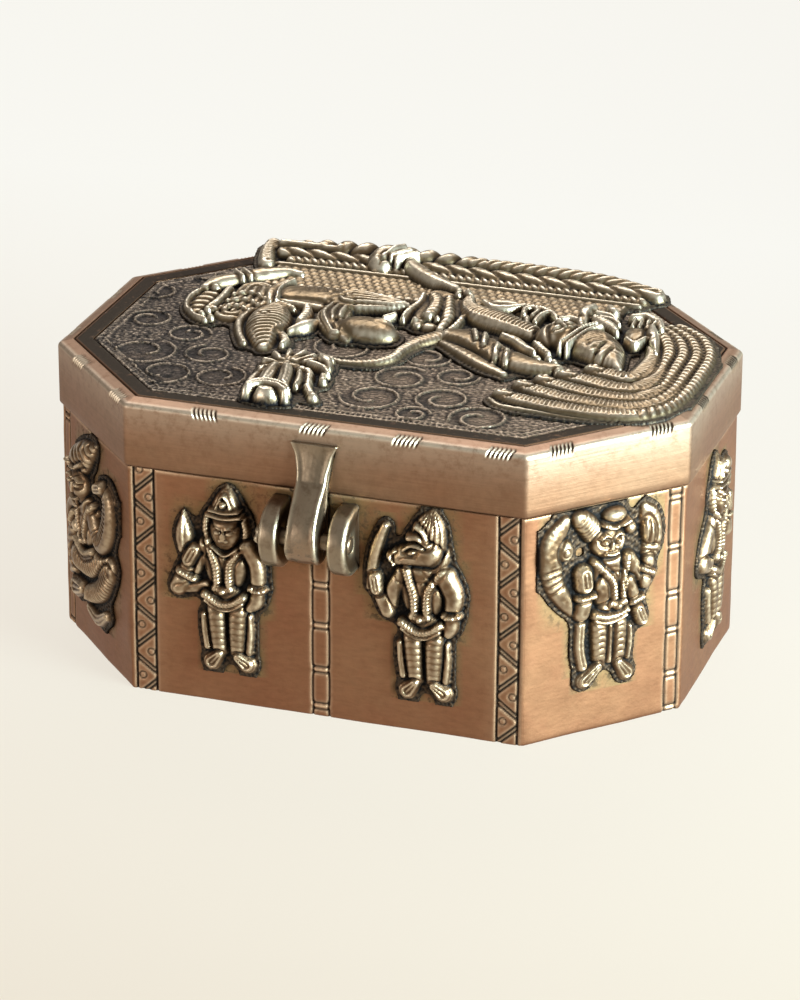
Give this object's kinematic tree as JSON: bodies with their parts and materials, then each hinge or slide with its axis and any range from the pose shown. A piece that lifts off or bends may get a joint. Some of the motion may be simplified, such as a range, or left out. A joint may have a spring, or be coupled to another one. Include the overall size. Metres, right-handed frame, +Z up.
{
  "type": "storage box",
  "caption": "Elongated octagonal cast brass box with a pinned hinge, a lift-up lid carrying a reclining crowned figure in relief, and figures in relief on its walls.",
  "frame": {"origin": "middle of the flat underside that the box stands on", "axes": "+X along the length of the box, +Y towards the side with the clasp (the hinge is on -Y), +Z up"},
  "size_m": [0.1772, 0.1448, 0.0873],
  "materials": {
    "wall": "aged red-brown brass, brushed and rubbed, dark in the chased lines",
    "skirt": "brushed reddish brass with a paler worn bevel",
    "panel": "dark matted brass ground with bright worn points",
    "relief": "cast brass with near-black hollows and bright worn high points",
    "fitting": "filed and rubbed cast brass",
    "inside": "dull unpolished brass"
  },
  "bodies": {
    "body": {"body_walls": "wall", "base_plate": "inside", "inner_rim": "inside", "hinge_lug_left": "fitting", "hinge_lug_right": "fitting", "hinge_pin": "fitting", "clasp_lug_left": "fitting", "clasp_lug_right": "fitting", "figure_blade": "relief", "figure_snouted": "relief", "figure_winged": "relief", "figure_mace": "relief", "figure_fish": "relief", "figure_bow": "relief", "figure_axe": "relief", "figure_tortoise": "relief", "figure_disc": "relief", "figure_crouching": "relief"},
    "lid": {"lid_frame": "skirt", "lid_panel": "panel", "hinge_strap": "fitting", "clasp_strap": "fitting", "reclining_figure": "relief", "attendant_figure": "relief", "lotus_seated_figure": "relief", "lotus_stem": "relief", "serpent_hood": "relief", "serpent_coil": "relief"}
  },
  "joints": [
    {"name": "lid_hinge", "type": "hinge", "parent": "body", "child": "lid", "pos_m": [-0.002, -0.0664, 0.0518], "axis": [1, 0, 0], "range_deg": [0, 180]}
  ]
}
